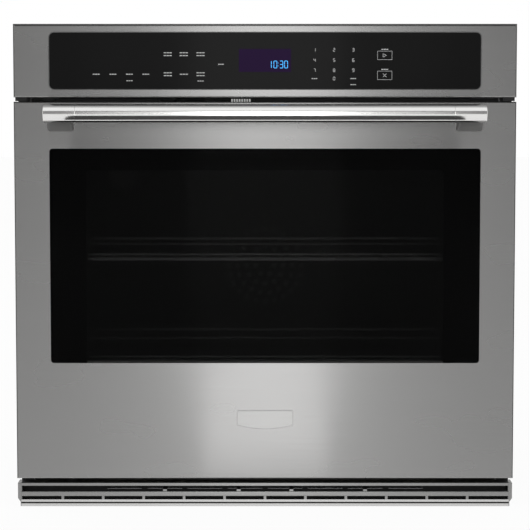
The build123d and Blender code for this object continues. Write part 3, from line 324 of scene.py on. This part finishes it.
POST_SHADE_REACH = 1 * MM           # the posts' faces with painted shade end this far above the underside of the bar
SHADE_RIM_DEPTH = 2.1 * MM       # rolled edges of the front sheets lie this far behind their face; their dark steel is a painted dark reflection
SHADE_RIM_BAND = 3 * MM          # and inward from the sheet's outline
FOOT_HEIGHT = 11 * MM         # foot of the trim, in lighter steel: a painted highlight
FOOT_DEPTH = 3 * MM
GROOVE_SHADE_LOW = 4.3 * MM         # painted shade in the groove across the foot
GROOVE_SHADE_HIGH = 6.9 * MM
LOUVRE_SHADE_DEPTH = 4.3 * MM       # from here back the louvre is painted dark: painted shade in the recess
LOUVRE_END = 1 * MM
GROUND_DEPTH = 0.45 * MM      # ground edge of the control glass


def shade_posts():
    """Brushed feet of the handle posts under the bar, duller than the bar and painted darker as shade."""
    bar_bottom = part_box("handle_bar")[0].z
    post_shade = brushed_steel("post_steel", SHADED_POST_STEEL, 0.3, 0.7)
    face_material("handle_ends", post_shade, lambda centre, normal: centre.z < bar_bottom + POST_SHADE_REACH)


def shade_glass_edge():
    """Ground edge of the control glass, paler than its face."""
    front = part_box("control_glass")[0].y
    ground = moulded("ground_edge", grey(0.20), 0.4)
    face_material("control_glass", ground,
                  lambda centre, normal: centre.y < front + GROUND_DEPTH and normal.y > -0.95)


def shade_edges():
    """Painted dark reflection on the rolled edges of the front sheets, painted shade in the louvre behind its
    face and in the groove across the foot, and a painted highlight on the foot.
    """
    # dark steel for the rolled edges: a painted dark reflection
    edge = brushed_steel("rolled_edge", EDGE_SHADE_STEEL, 0.35, 0.6)
    for node in ("control_bezel", "door_skin"):
        low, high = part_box(node)

        def rolled(centre, normal):
            top = normal.z > 0.25 and centre.z > high.z - SHADE_RIM_BAND
            side = abs(normal.x) > 0.3 and abs(centre.x) > high.x - SHADE_RIM_BAND
            return centre.y < low.y + SHADE_RIM_DEPTH and (top or side)

        face_material(node, edge, rolled)
    low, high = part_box("vent_trim")
    # lighter steel on the foot: a painted highlight
    foot = brushed_steel("foot_steel", FOOT_SHEEN_STEEL, 0.25, 0.6)
    face_material("vent_trim", foot,
                  lambda centre, normal: centre.z < low.z + FOOT_HEIGHT and centre.y < low.y + FOOT_DEPTH)
    # painted shade in the groove across the foot
    face_material("vent_trim", edge, lambda centre, normal: GROOVE_SHADE_LOW < centre.z - low.z < GROOVE_SHADE_HIGH)
    # painted shade: the louvre's inner faces near black
    louvre_shade = moulded("louvre_inside", grey(0.012), 0.6, 300.0)
    face_material("vent_trim", louvre_shade, lambda centre, normal:
                  centre.y > low.y + LOUVRE_SHADE_DEPTH and high.x - abs(centre.x) > LOUVRE_END)


dress_frame()
shade_edges()
shade_posts()
shade_glass_edge()


# ---------------------------------------------------------------- mesh helpers
def add_object(name, mesh, body, material):
    item = bpy.data.objects.new(name, mesh)
    bpy.context.collection.objects.link(item)
    item.data.materials.append(material)
    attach(item, body)
    return item


class Marks:
    """Flat shapes standing on an XZ plane that faces -Y, gathered in one mesh. Sizes are metres."""

    def __init__(self, front, thickness):
        self.bm = bmesh.new()
        self.front = front
        self.thickness = thickness

    def face(self, points):
        """One outline as a thin slab, its points in order round the outline."""
        near = [self.bm.verts.new((x, self.front - self.thickness, z)) for x, z in points]
        far = [self.bm.verts.new((x, self.front, z)) for x, z in points]
        self.bm.faces.new(near)
        self.bm.faces.new(list(reversed(far)))
        for index in range(len(points)):
            following = (index + 1) % len(points)
            self.bm.faces.new((near[index], far[index], far[following], near[following]))

    def bar(self, x, z, width, height):
        left, right = x - width / 2, x + width / 2
        bottom, top = z - height / 2, z + height / 2
        self.face([(left, bottom), (right, bottom), (right, top), (left, top)])

    def outline(self, x, z, width, height, line):
        """A rectangle drawn with a line."""
        self.bar(x, z + height / 2, width + line, line)
        self.bar(x, z - height / 2, width + line, line)
        self.bar(x - width / 2, z, line, height - line)
        self.bar(x + width / 2, z, line, height - line)

    def stroke(self, start, end, line):
        """A straight stroke between two points."""
        along = Vector((end[0] - start[0], end[1] - start[1])).normalized()
        across = Vector((-along.y, along.x)) * line / 2
        corners = [Vector(start) - across, Vector(end) - across, Vector(end) + across, Vector(start) + across]
        self.face([(c.x, c.y) for c in corners])

    def finish(self, name, body, material):
        bmesh.ops.recalc_face_normals(self.bm, faces=self.bm.faces)
        mesh = bpy.data.meshes.new(name)
        self.bm.to_mesh(mesh)
        self.bm.free()
        return add_object(name, mesh, body, material)


# ---------------------------------------------------------------- control panel prints
glass_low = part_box("control_glass")[0]
GLASS_FRONT = glass_low.y
GLASS_BOTTOM = glass_low.z
PRINT = 0.04 * MM             # thickness of the print

# Places on the control glass in millimetres: x from the middle, rows from the glass's lower edge.
MODE_COLUMNS = (-255.5, -230.1, -205.1, -180.3)
OPTION_COLUMNS = (-147.1, -122.8, -97.5)
OPTION_LINES = (2, 1, 2)      # lines of print on each option of the lower row
LIGHT_KEY = (-66.6, 38.0)
MODE_ROW = 23.0
OPTION_ROW = 53.2
MODE_NOTE_ROW = 13.2
OPTION_NOTE_ROW = 12.8
NUMBER_COLUMNS = (74.9, 104.5, 133.5)
NUMBER_ROWS = (59.7, 44.2, 29.0)
ZERO_ROW = 16.5
NUMBER_NOTE_ROW = 7.3
FRAMED_KEY = 181.1
START_ROW = 51.4
STOP_ROW = 21.3
CLOCK = (21.3, 37.7)

MODE_WIDTH = 11 * MM          # widths of the stand-ins for words
OPTION_WIDTH = 13 * MM
NOTE_WIDTH = 10 * MM
KEY_WIDTH = 9 * MM
WORD_HEIGHT = 1.3 * MM
NOTE_HEIGHT = 1.2 * MM
LINE_PITCH = 4.3 * MM
DASHES = 3
DASH_FILL = 0.82              # printed part of each dash's share of the width

NUMBER_SIZE = (2.6 * MM, 4.6 * MM, 0.7 * MM)      # width, height and line of the key numbers
CLOCK_SIZE = (4.6 * MM, 10.5 * MM, 0.8 * MM)      # and of the clock digits
CLOCK_DIGITS = ((-14.0, "1"), (-5.6, "0"), (3.4, "3"), (10.6, "0"))
COLON = -1.1
COLON_LIFT = 2.2 * MM

FRAME_WIDTH = 21.8 * MM
FRAME_HEIGHT = 12.8 * MM
FRAME_LINE = 0.45 * MM
NAME_LIFT = 9.0 * MM          # name over its framed key
SYMBOL_HALF = 2.6 * MM
START_LINE = 0.6 * MM
STOP_LINE = 0.7 * MM

white_ink = ink("white_ink", grey(0.55))
digit_glow = ink("digit_glow", (0.05, 0.42, 0.95), glow=0.9)


def words(marks, x, z, width, lines=1, height=WORD_HEIGHT):
    """Name stood in for by short plain dashes, one row per line of print."""
    for line in range(lines):
        row_z = z + ((lines - 1) / 2 - line) * LINE_PITCH
        dash = width / DASHES
        for index in (-1, 0, 1):
            marks.bar(x + index * dash, row_z, dash * DASH_FILL, height)


SEGMENTS = {
    "0": "abcdef", "1": "bc", "2": "abged", "3": "abgcd", "4": "fgbc",
    "5": "afgcd", "6": "afgedc", "7": "abc", "8": "abcdefg", "9": "abcdfg",
}


def seven_segment(marks, digit, x, z, width, height, line):
    """One digit drawn with plain segments, centred on x and z."""
    left, right = x - width / 2, x + width / 2
    top, bottom = z + height / 2, z - height / 2
    gap = line * 0.35
    ends = {
        "a": ((left + gap, top), (right - gap, top)),
        "g": ((left + gap, z), (right - gap, z)),
        "d": ((left + gap, bottom), (right - gap, bottom)),
        "f": ((left, z + gap), (left, top - gap)),
        "b": ((right, z + gap), (right, top - gap)),
        "e": ((left, bottom + gap), (left, z - gap)),
        "c": ((right, bottom + gap), (right, z - gap)),
    }
    for segment in SEGMENTS[digit]:
        marks.stroke(*ends[segment], line)


def control_prints():
    """White function marks, number keys and the two framed keys on the control glass."""
    white = Marks(GLASS_FRONT, PRINT)

    def row(height):
        return GLASS_BOTTOM + height * MM

    for x in MODE_COLUMNS:
        words(white, x * MM, row(MODE_ROW), MODE_WIDTH)
    words(white, MODE_COLUMNS[2] * MM, row(MODE_NOTE_ROW), NOTE_WIDTH, height=NOTE_HEIGHT)
    for x in OPTION_COLUMNS:
        words(white, x * MM, row(OPTION_ROW), OPTION_WIDTH, lines=2)
    for x, lines in zip(OPTION_COLUMNS, OPTION_LINES):
        words(white, x * MM, row(MODE_ROW), OPTION_WIDTH, lines=lines)
    words(white, OPTION_COLUMNS[2] * MM, row(OPTION_NOTE_ROW), NOTE_WIDTH, height=NOTE_HEIGHT)
    words(white, LIGHT_KEY[0] * MM, row(LIGHT_KEY[1]), KEY_WIDTH)
    left, middle, right = columns = [x * MM for x in NUMBER_COLUMNS]
    number = 1
    for height in NUMBER_ROWS:
        for x in columns:
            seven_segment(white, str(number), x, row(height), *NUMBER_SIZE)
            number += 1
    seven_segment(white, "0", middle, row(ZERO_ROW), *NUMBER_SIZE)
    words(white, left, row(ZERO_ROW), KEY_WIDTH)
    words(white, right, row(ZERO_ROW), KEY_WIDTH)
    words(white, right, row(NUMBER_NOTE_ROW), KEY_WIDTH, height=NOTE_HEIGHT)
    key_x, start_z, stop_z = FRAMED_KEY * MM, row(START_ROW), row(STOP_ROW)
    for z in (start_z, stop_z):
        white.outline(key_x, z, FRAME_WIDTH, FRAME_HEIGHT, FRAME_LINE)
        words(white, key_x, z + NAME_LIFT, MODE_WIDTH)
    half = SYMBOL_HALF
    corners = [(key_x - half, start_z - half), (key_x + half, start_z), (key_x - half, start_z + half)]
    for index in range(3):
        white.stroke(corners[index], corners[(index + 1) % 3], START_LINE)
    white.stroke((key_x - half, stop_z - half), (key_x + half, stop_z + half), STOP_LINE)
    white.stroke((key_x - half, stop_z + half), (key_x + half, stop_z - half), STOP_LINE)
    white.finish("control_prints", "chassis", white_ink)


def display():
    """Tinted display window with the clock digits."""
    low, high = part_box("display_module")
    window = Marks(GLASS_FRONT, PRINT)
    window.bar((low.x + high.x) / 2, (low.z + high.z) / 2, high.x - low.x, high.z - low.z)
    window.finish("display_window", "chassis", slot_materials["display_face"])
    digits = Marks(GLASS_FRONT - PRINT, PRINT)
    x, z = CLOCK[0] * MM, GLASS_BOTTOM + CLOCK[1] * MM
    for offset, digit in CLOCK_DIGITS:
        seven_segment(digits, digit, x + offset * MM, z, *CLOCK_SIZE)
    dot = CLOCK_SIZE[2]
    for lift in (-COLON_LIFT, COLON_LIFT):
        digits.bar(x + COLON * MM, z + lift, dot, dot)
    digits.finish("display_digits", "chassis", digit_glow)


control_prints()
display()


# ---------------------------------------------------------------- door glass border
outer_low, outer_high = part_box("door_outer_glass")
CLEAR_HALF = 272.4 * MM       # the see-through area: half width, top and bottom
CLEAR_TOP = 518.2 * MM
CLEAR_BOTTOM = 212.0 * MM
CLEAR_CORNER = 5 * MM
BORDER_DEPTH = 0.15 * MM
BORDER_INSET = 1.0 * MM
ARC_STEPS = 6


def rounded_outline(half_width, bottom, top, radius):
    """Points round an upright rectangle with round corners, anticlockwise from the lower right corner."""
    points = []
    corners = [(half_width - radius, bottom + radius, -90), (half_width - radius, top - radius, 0),
               (-half_width + radius, top - radius, 90), (-half_width + radius, bottom + radius, 180)]
    for x, z, start in corners:
        for step in range(ARC_STEPS + 1):
            angle = math.radians(start + 90 * step / ARC_STEPS)
            points.append((x + radius * math.cos(angle), z + radius * math.sin(angle)))
    return points


def glass_border():
    """Black print on the inner face of the front glass, open at the see-through area."""
    back = outer_high.y
    bm = bmesh.new()
    inset = BORDER_INSET
    outer = rounded_outline(outer_high.x - inset, outer_low.z + inset, outer_high.z - inset, CLEAR_CORNER)
    inner = rounded_outline(CLEAR_HALF, CLEAR_BOTTOM, CLEAR_TOP, CLEAR_CORNER)
    rings = []
    for y in (back - 2 * BORDER_DEPTH, back - BORDER_DEPTH):
        rings.append([[bm.verts.new((x, y, z)) for x, z in outline] for outline in (outer, inner)])
    count = len(outer)
    for index in range(count):
        following = (index + 1) % count
        for ring_outer, ring_inner in rings:
            bm.faces.new((ring_outer[index], ring_outer[following], ring_inner[following], ring_inner[index]))
        for side in (0, 1):
            front, rear = rings[0][side], rings[1][side]
            bm.faces.new((front[index], front[following], rear[following], rear[index]))
    bmesh.ops.recalc_face_normals(bm, faces=bm.faces)
    mesh = bpy.data.meshes.new("glass_border")
    bm.to_mesh(mesh)
    bm.free()
    add_object("glass_border", mesh, "door", pane("black_print", grey(0.001), 1.0, 0.01))


# ---------------------------------------------------------------- gap seals and painted shade strip
SEAL_WIDTH = 18 * MM
SEAL_DEPTH = 7 * MM
SEAL_INSET = 1.5 * MM         # from the end of the panel
SEAL_SETBACK = 14 * MM        # its middle, from the face of the panel
DOOR_CLEARANCE = 1.0 * MM

# painted shade strip on the face of the control panel, under its top edge
SHADE_STRIP_DROP = 2.6 * MM           # its middle, under the top of the panel
SHADE_STRIP_HEIGHT = 1.4 * MM
SHADE_STRIP_INSET = 2.4 * MM          # from each end of the panel
SHADE_STRIP_THICKNESS = 0.05 * MM


def gap_seals():
    """Black seals that close the ends of the gap above the door, fixed under the panel."""
    bezel_low, bezel_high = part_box("control_bezel")
    door_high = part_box("door_skin")[1]
    bottom = door_high.z + DOOR_CLEARANCE
    for name, side in (("gap_seal_left", -1), ("gap_seal_right", 1)):
        bm = bmesh.new()
        bmesh.ops.create_cube(bm, size=1.0)
        size = Vector((SEAL_WIDTH, SEAL_DEPTH, bezel_low.z - bottom))
        centre = Vector((side * (bezel_high.x - SEAL_INSET - size.x / 2),
                         bezel_low.y + SEAL_SETBACK, bottom + size.z / 2))
        for vertex in bm.verts:
            vertex.co = Vector([vertex.co[axis] * size[axis] + centre[axis] for axis in range(3)])
        mesh = bpy.data.meshes.new(name)
        bm.to_mesh(mesh)
        bm.free()
        add_object(name, mesh, "chassis", slot_materials["carrier_plastic"])


def painted_shade_strip():
    """Painted shade: a thin dark strip laid on the face along the top edge of the control panel."""
    low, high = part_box("control_bezel")
    shade_strip = Marks(low.y, SHADE_STRIP_THICKNESS)
    shade_strip.bar(0.0, high.z - SHADE_STRIP_DROP, 2 * (high.x - SHADE_STRIP_INSET), SHADE_STRIP_HEIGHT)
    shade_strip.finish("painted_shade_strip", "chassis", bpy.data.materials["rolled_edge"])


glass_border()
gap_seals()
painted_shade_strip()


# ---------------------------------------------------------------- studio
WHITE = (1.0, 1.0, 1.0, 1.0)
FLOOR_HALF = 14.0             # metres, as all lengths of the studio
FLOOR_GREY = 0.85
FLOOR_WHITE = 0.94            # how far the floor is plain white where the camera sees it
AMBIENT = 0.75

# Radiance of each reflected card.
WALL = 0.22
WING = 0.70
SOFTBOX = 2.60
STRIPE = 2.10
FLOOR_GLOW = 0.92
FLAG = 0.05
BANK = 1.00
CEILING = 0.42
REAR_CEILING = 0.30

WALL_HALF, WALL_Y, WALL_TOP = 7.0, -6.5, 5.2
WING_HALF, WING_Y = 0.62, -4.6
SOFTBOX_HALF, SOFTBOX_Y = 0.26, -4.4
PANEL_FOOT, PANEL_TOP = 0.02, 2.6             # of the wing and the softbox
GLOW_NEAR_Y, GLOW_Z = -0.38, 0.012
STRIPE_NEAR_HALF, STRIPE_NEAR_Y, STRIPE_Z = 0.10, -0.50, 0.014
FLAG_HALF, FLAG_FAR_Y, FLAG_NEAR_Y, FLAG_Z = 0.305, -0.49, -0.346, 0.53
CEILING_HALF, CEILING_Y, CEILING_Z = 5.0, 0.45, 3.3
CEILING_BACK_Y = 6.0
BANK_HALF, BANK_FAR_Y, BANK_NEAR_Y, BANK_LOW = 4.0, -3.2, -0.75, 2.4

# Name, place, target, width, height and power in watts. None of them shows in a reflection.
LAMPS = (
    ("key", (0.0, -3.6, 2.6), (0.0, 0.0, 0.4), 2.4, 1.2, 22.0),
    ("fill_left", (-3.0, -2.2, 2.6), (0.0, 0.0, 0.4), 1.6, 1.6, 16.0),
    ("fill_right", (3.0, -2.2, 2.6), (0.0, 0.0, 0.4), 1.6, 1.6, 10.0),
    ("rear_left", (-2.6, 2.8, 2.4), (0.0, 0.1, 0.4), 1.4, 1.4, 10.0),
)


def seen_directly(tree):
    """1 for camera, glossy and transmission rays, else 0."""
    path = tree.nodes.new("ShaderNodeLightPath")
    seen = path.outputs["Is Camera Ray"]
    for ray in ("Is Glossy Ray", "Is Transmission Ray"):
        either = tree.nodes.new("ShaderNodeMath")
        either.operation = "MAXIMUM"
        tree.links.new(seen, either.inputs[0])
        tree.links.new(path.outputs[ray], either.inputs[1])
        seen = either.outputs[0]
    return seen


def white_world():
    """White where it is seen, dimmer where it lights matt surfaces."""
    world = bpy.data.worlds.new("studio")
    bpy.context.scene.world = world
    world.use_nodes = True
    tree = world.node_tree
    tree.nodes.clear()
    output = tree.nodes.new("ShaderNodeOutputWorld")
    seen = tree.nodes.new("ShaderNodeBackground")
    seen.inputs["Color"].default_value = WHITE
    ambient = tree.nodes.new("ShaderNodeBackground")
    ambient.inputs["Color"].default_value = WHITE
    ambient.inputs["Strength"].default_value = AMBIENT
    mix = tree.nodes.new("ShaderNodeMixShader")
    tree.links.new(seen_directly(tree), mix.inputs[0])
    tree.links.new(ambient.outputs[0], mix.inputs[1])
    tree.links.new(seen.outputs[0], mix.inputs[2])
    tree.links.new(mix.outputs[0], output.inputs[0])


def card(name, corners, value, glow=0.0):
    """A matt studio card, part of the stage and not of the object."""
    mesh = bpy.data.meshes.new(name)
    mesh.from_pydata(corners, [], [(0, 1, 2, 3)])
    item = bpy.data.objects.new(name, mesh)
    bpy.context.collection.objects.link(item)
    shader = Shader(name, grey(value), roughness=1.0)
    shader.set("Specular IOR Level", 0.0)
    if glow:
        shader.glow(grey(1.0), glow)
    mesh.materials.append(shader.material)
    return item


def floor():
    """Matt floor that keeps the object's shadow and is nearly white to the camera."""
    half = FLOOR_HALF
    item = card("floor", [(-half, -half, 0), (half, -half, 0), (half, half, 0), (-half, half, 0)], FLOOR_GREY)
    tree = item.data.materials[0].node_tree
    diffuse = tree.nodes["Principled BSDF"]
    output = tree.nodes["Material Output"]
    glow = tree.nodes.new("ShaderNodeEmission")
    glow.inputs["Color"].default_value = WHITE
    weight = tree.nodes.new("ShaderNodeMath")
    weight.operation = "MULTIPLY"
    weight.inputs[1].default_value = FLOOR_WHITE
    tree.links.new(seen_directly(tree), weight.inputs[0])
    mix = tree.nodes.new("ShaderNodeMixShader")
    tree.links.new(weight.outputs[0], mix.inputs[0])
    tree.links.new(diffuse.outputs[0], mix.inputs[1])
    tree.links.new(glow.outputs[0], mix.inputs[2])
    tree.links.new(mix.outputs[0], output.inputs["Surface"])


def glow_card(name, corners, radiance):
    """An even card that only reflections see."""
    item = card(name, corners, 0.0, glow=radiance)
    item.visible_camera = False
    item.visible_diffuse = False
    item.visible_transmission = False
    item.visible_shadow = False


def upright_card(name, half_width, y, bottom, top, radiance):
    corners = [(-half_width, y, bottom), (half_width, y, bottom), (half_width, y, top), (-half_width, y, top)]
    glow_card(name, corners, radiance)


def level_card(name, far_half, far_y, near_half, near_y, z, radiance):
    corners = [(-far_half, far_y, z), (far_half, far_y, z), (near_half, near_y, z), (-near_half, near_y, z)]
    glow_card(name, corners, radiance)


def flag_from_above(name, half_width, far_y, near_y, z, radiance):
    """A dark level card that shows from above only."""
    level_card(name, half_width, far_y, half_width, near_y, z, radiance)
    tree = bpy.data.materials[name].node_tree
    output = tree.nodes["Material Output"]
    side = tree.nodes.new("ShaderNodeNewGeometry")
    clear = tree.nodes.new("ShaderNodeBsdfTransparent")
    mix = tree.nodes.new("ShaderNodeMixShader")
    tree.links.new(side.outputs["Backfacing"], mix.inputs[0])
    tree.links.new(tree.nodes["Principled BSDF"].outputs[0], mix.inputs[1])
    tree.links.new(clear.outputs[0], mix.inputs[2])
    tree.links.new(mix.outputs[0], output.inputs["Surface"])


def reflection_cards():
    """What the steel, glass and bar reflect.

    A wall with a wing and a softbox before it, the floor with a bright stripe, a dark flag under the handle,
    the ceiling and a lamp bank sloping down from it.
    """
    upright_card("card_wall", WALL_HALF, WALL_Y, 0.0, WALL_TOP, WALL)
    upright_card("card_wing", WING_HALF, WING_Y, PANEL_FOOT, PANEL_TOP, WING)
    upright_card("card_softbox", SOFTBOX_HALF, SOFTBOX_Y, PANEL_FOOT, PANEL_TOP, SOFTBOX)
    level_card("card_floor", WALL_HALF, WALL_Y, WALL_HALF, GLOW_NEAR_Y, GLOW_Z, FLOOR_GLOW)
    level_card("card_floor_stripe", SOFTBOX_HALF, SOFTBOX_Y,
               STRIPE_NEAR_HALF, STRIPE_NEAR_Y, STRIPE_Z, STRIPE)
    flag_from_above("card_flag", FLAG_HALF, FLAG_FAR_Y, FLAG_NEAR_Y, FLAG_Z, FLAG)
    level_card("card_ceiling", CEILING_HALF, BANK_NEAR_Y, CEILING_HALF, CEILING_Y, CEILING_Z, CEILING)
    level_card("card_ceiling_rear", CEILING_HALF, CEILING_Y,
               CEILING_HALF, CEILING_BACK_Y, CEILING_Z, REAR_CEILING)
    half = BANK_HALF
    glow_card("card_bank", [(-half, BANK_FAR_Y, BANK_LOW), (half, BANK_FAR_Y, BANK_LOW),
                            (half, BANK_NEAR_Y, CEILING_Z), (-half, BANK_NEAR_Y, CEILING_Z)], BANK)


def lamp(name, place, target, width, height, power):
    """An even rectangular lamp that lights surfaces and doesn't show in reflections."""
    data = bpy.data.lights.new(name, "AREA")
    data.shape = "RECTANGLE"
    data.size = width
    data.size_y = height
    data.energy = power
    item = bpy.data.objects.new(name, data)
    bpy.context.collection.objects.link(item)
    item.location = place
    item.rotation_euler = (Vector(target) - Vector(place)).to_track_quat("-Z", "Y").to_euler()
    item.visible_glossy = False


white_world()
floor()
reflection_cards()
for values in LAMPS:
    lamp(*values)

# ---------------------------------------------------------------- camera
CAMERA_DISTANCE = 3.3309      # metres, from the door face
CAMERA_HEIGHT = 0.6643
CAMERA_PITCH = math.radians(4.977)
FOCAL_PIXELS = 2193.0
FRAME_PIXELS = 530.0          # width of the photograph
SENSOR = 36.0                 # millimetres
TRANSPARENT_LAYERS = 24       # enough to see the racks through three panes

camera_data = bpy.data.cameras.new("camera")
camera_data.sensor_width = SENSOR
camera_data.lens = FOCAL_PIXELS / FRAME_PIXELS * SENSOR
camera = bpy.data.objects.new("camera", camera_data)
bpy.context.collection.objects.link(camera)
door_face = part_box("door_skin")[0].y
camera.location = (0.0, door_face - CAMERA_DISTANCE, CAMERA_HEIGHT)
camera.rotation_euler = (math.pi / 2 - CAMERA_PITCH, 0.0, 0.0)
bpy.context.scene.camera = camera
bpy.context.scene.view_settings.view_transform = "Standard"
bpy.context.scene.cycles.transparent_max_bounces = TRANSPARENT_LAYERS
